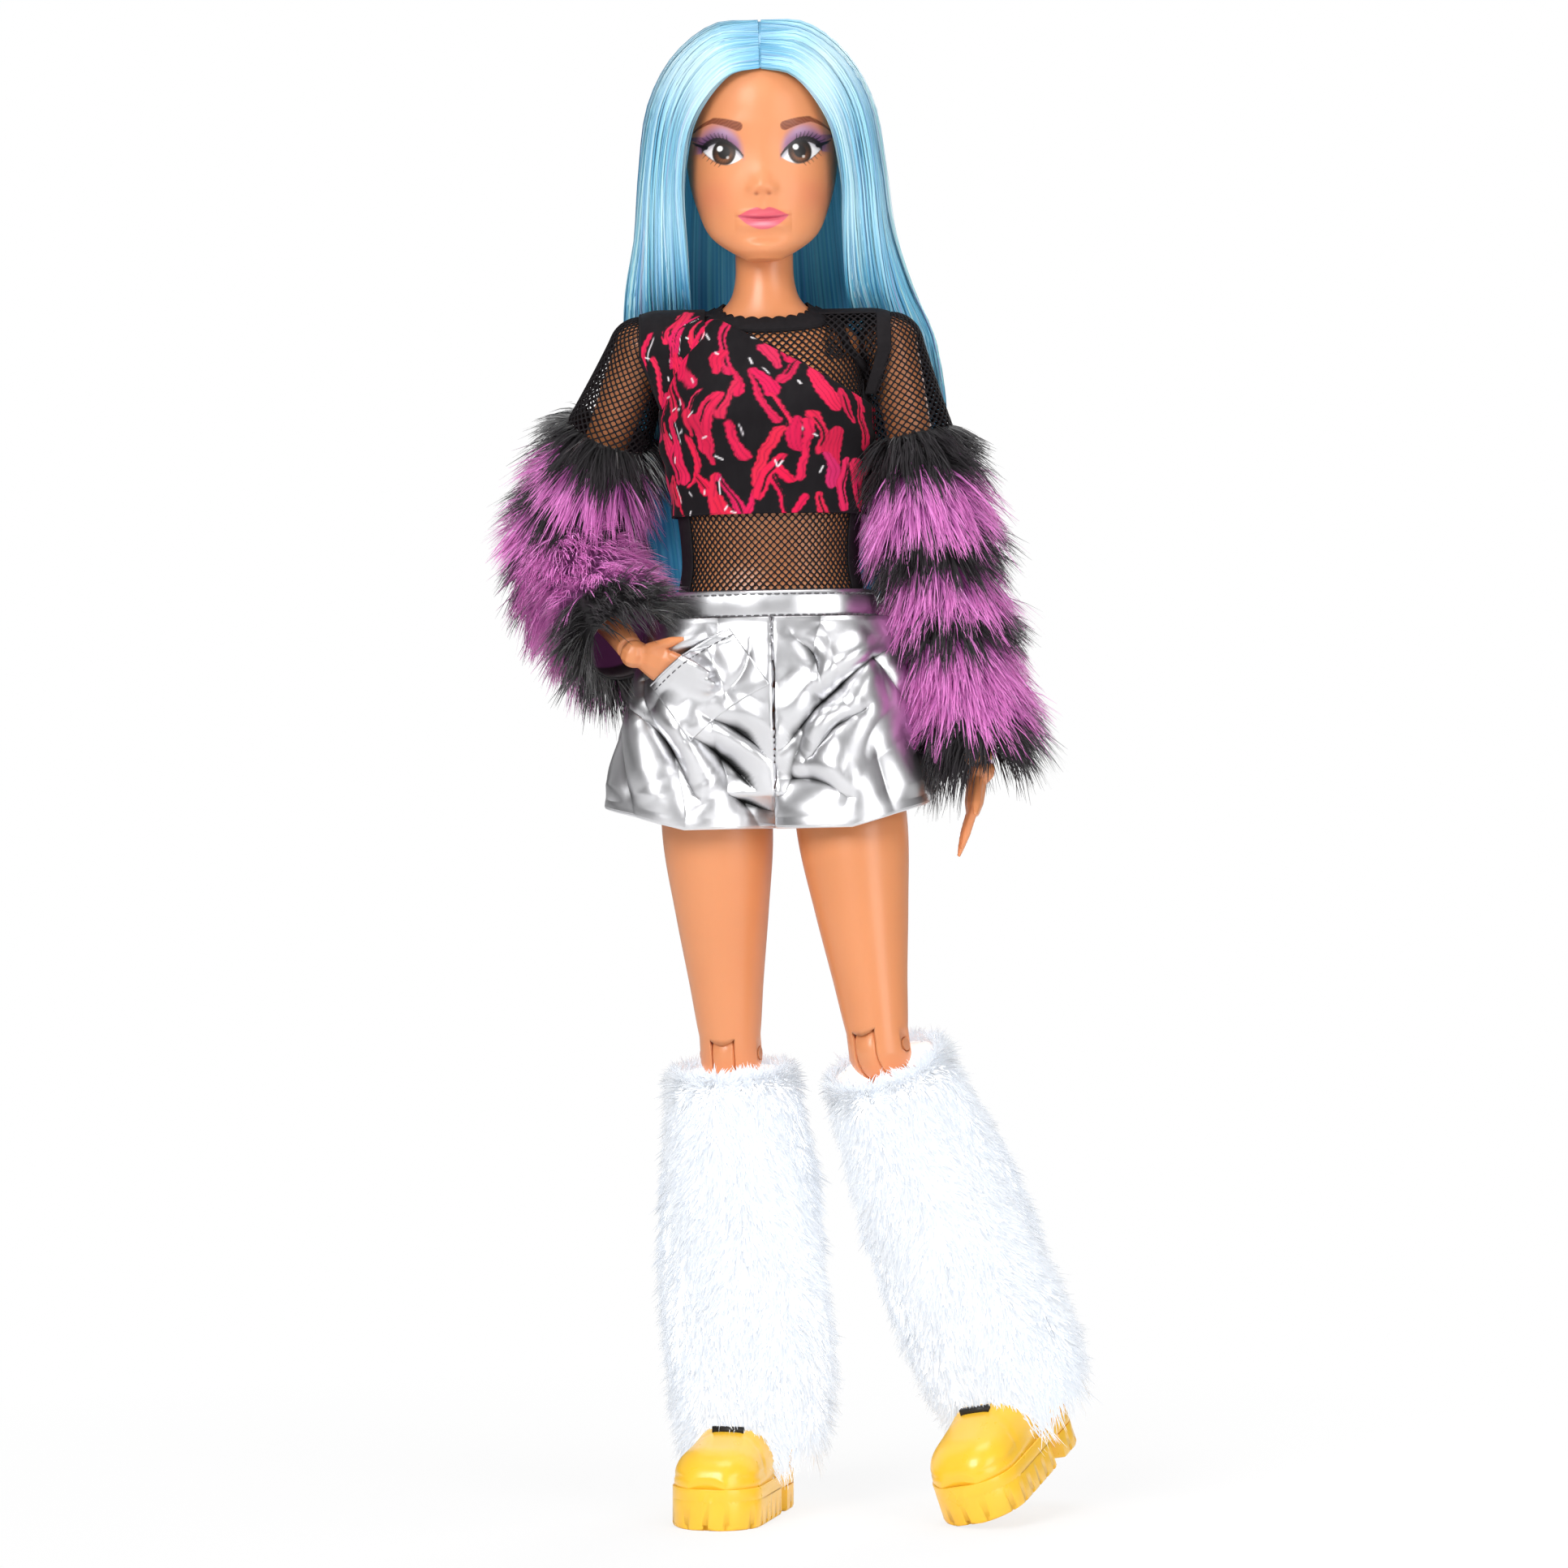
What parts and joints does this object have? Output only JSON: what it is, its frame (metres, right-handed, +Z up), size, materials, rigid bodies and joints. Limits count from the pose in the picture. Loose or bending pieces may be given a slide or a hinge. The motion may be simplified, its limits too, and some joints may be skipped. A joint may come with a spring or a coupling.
{
  "type": "fashion doll",
  "caption": "Jointed fashion doll with long blue hair, net top with fur sleeve ends, silver shorts, white fur leg warmers and yellow platform shoes, standing with one hand in its pocket.",
  "frame": {"origin": "on the floor under the middle of the standing doll's box", "axes": "+Z up, the doll faces -Y, her right hand is towards -X"},
  "size_m": [0.118, 0.0548, 0.2971],
  "materials": {
    "skin": "satin moulded vinyl",
    "pin": "plain moulded plastic",
    "hair": "silky rooted fibre",
    "net": "open black net",
    "print": "printed knit in crimson on black",
    "silver": "silver foil on cloth",
    "purple_fur": "long pile in purple and black bands",
    "white_fur": "long white pile",
    "yellow": "glossy moulded plastic"
  },
  "bodies": {
    "trunk": {"torso_shell": "skin", "pelvis_block": "skin", "waist_plug": "pin", "neck_knob": "pin", "net_top": "net", "crop_panel": "print", "shorts_waistband": "silver", "shorts_leg_right": "silver", "shorts_leg_left": "silver"},
    "head": {"head_shell": "skin", "hair_cap": "hair", "hair_curtain": "hair"},
    "shoulder_right": {"shoulder_hub_right": "pin"},
    "arm_right": {"upper_arm_right": "skin", "net_sleeve_right": "net"},
    "lower_arm_right": {"forearm_right": "skin", "elbow_pin_right": "pin", "fur_sleeve_right": "purple_fur"},
    "palm_right": {"hand_right": "skin", "wrist_peg_right": "pin"},
    "hip_right": {"hip_hub_right": "pin"},
    "upper_leg_right": {"thigh_right": "skin"},
    "lower_leg_right": {"shin_right": "skin", "knee_pin_right": "pin", "shoe_upper_right": "yellow", "shoe_sole_right": "yellow", "heel_block_right": "yellow", "leg_warmer_right": "white_fur"},
    "shoulder_left": {"shoulder_hub_left": "pin"},
    "arm_left": {"upper_arm_left": "skin", "net_sleeve_left": "net"},
    "lower_arm_left": {"forearm_left": "skin", "elbow_pin_left": "pin", "fur_sleeve_left": "purple_fur"},
    "palm_left": {"hand_left": "skin", "wrist_peg_left": "pin"},
    "hip_left": {"hip_hub_left": "pin"},
    "upper_leg_left": {"thigh_left": "skin"},
    "lower_leg_left": {"shin_left": "skin", "knee_pin_left": "pin", "shoe_upper_left": "yellow", "shoe_sole_left": "yellow", "heel_block_left": "yellow", "leg_warmer_left": "white_fur"}
  },
  "joints": [
    {"name": "neck_turn", "type": "hinge", "parent": "trunk", "child": "head", "pos_m": [-0.0051, -0.00347, 0.2487], "axis": [-0.0209, 0, 0.9998], "range_deg": [-60, 60], "deforming": ["hair_curtain"]},
    {"name": "shoulder_swing_right", "type": "hinge", "parent": "trunk", "child": "shoulder_right", "pos_m": [-0.02955, -0.00347, 0.23168], "axis": [-0.9998, 0, -0.0209], "range_deg": [-3, 90]},
    {"name": "shoulder_raise_right", "type": "hinge", "parent": "shoulder_right", "child": "arm_right", "pos_m": [-0.02955, -0.00347, 0.23168], "axis": [-0.0085, 0.9135, 0.4066], "range_deg": [-4, 42], "deforming": ["net_sleeve_right"]},
    {"name": "elbow_right", "type": "hinge", "parent": "arm_right", "child": "lower_arm_right", "pos_m": [-0.04578, 0.01434, 0.19133], "axis": [-0.8538, -0.5065, 0.1199], "range_deg": [-85, 0], "deforming": ["fur_sleeve_right"]},
    {"name": "wrist_turn_right", "type": "hinge", "parent": "lower_arm_right", "child": "palm_right", "pos_m": [-0.03121, -0.01483, 0.17182], "axis": [-0.3834, 0.7677, 0.5134], "range_deg": [-15, 60]},
    {"name": "hip_swing_right", "type": "hinge", "parent": "trunk", "child": "hip_right", "pos_m": [-0.01587, -0.00347, 0.16145], "axis": [-0.9998, 0, -0.0209], "range_deg": [-10, 50], "deforming": ["shorts_leg_right"]},
    {"name": "hip_splay_right", "type": "hinge", "parent": "hip_right", "child": "upper_leg_right", "pos_m": [-0.01587, -0.00347, 0.16145], "axis": [-0.0014, 0.9977, 0.068], "range_deg": [-1, 18]},
    {"name": "knee_right", "type": "hinge", "parent": "upper_leg_right", "child": "lower_leg_right", "pos_m": [-0.01173, 0.00129, 0.09174], "axis": [0.959, -0.2809, 0.0379], "range_deg": [0, 85], "deforming": ["leg_warmer_right"]},
    {"name": "shoulder_swing_left", "type": "hinge", "parent": "trunk", "child": "shoulder_left", "pos_m": [0.02004, -0.00347, 0.23272], "axis": [-0.9998, 0, -0.0209], "range_deg": [-35, 110]},
    {"name": "shoulder_raise_left", "type": "hinge", "parent": "shoulder_left", "child": "arm_left", "pos_m": [0.02004, -0.00347, 0.23272], "axis": [0, -1, 0], "range_deg": [-4, 48], "deforming": ["net_sleeve_left"]},
    {"name": "elbow_left", "type": "hinge", "parent": "arm_left", "child": "lower_arm_left", "pos_m": [0.02973, -0.00347, 0.18673], "axis": [-0.9773, -0.0506, -0.2059], "range_deg": [0, 85], "deforming": ["fur_sleeve_left"]},
    {"name": "wrist_turn_left", "type": "hinge", "parent": "lower_arm_left", "child": "palm_left", "pos_m": [0.03761, -0.00426, 0.14957], "axis": [-0.2072, 0.0209, 0.9781], "range_deg": [-90, 90]},
    {"name": "hip_swing_left", "type": "hinge", "parent": "trunk", "child": "hip_left", "pos_m": [0.00932, -0.00347, 0.16198], "axis": [-0.9998, 0, -0.0209], "range_deg": [-15, 70], "deforming": ["shorts_leg_left"]},
    {"name": "hip_splay_left", "type": "hinge", "parent": "hip_left", "child": "upper_leg_left", "pos_m": [0.00932, -0.00347, 0.16198], "axis": [-0.0035, -0.9857, 0.1685], "range_deg": [-4, 14]},
    {"name": "knee_left", "type": "hinge", "parent": "upper_leg_left", "child": "lower_leg_left", "pos_m": [0.01759, -0.0152, 0.09347], "axis": [0.8439, -0.5025, 0.1879], "range_deg": [-28, 57], "deforming": ["leg_warmer_left"]}
  ]
}
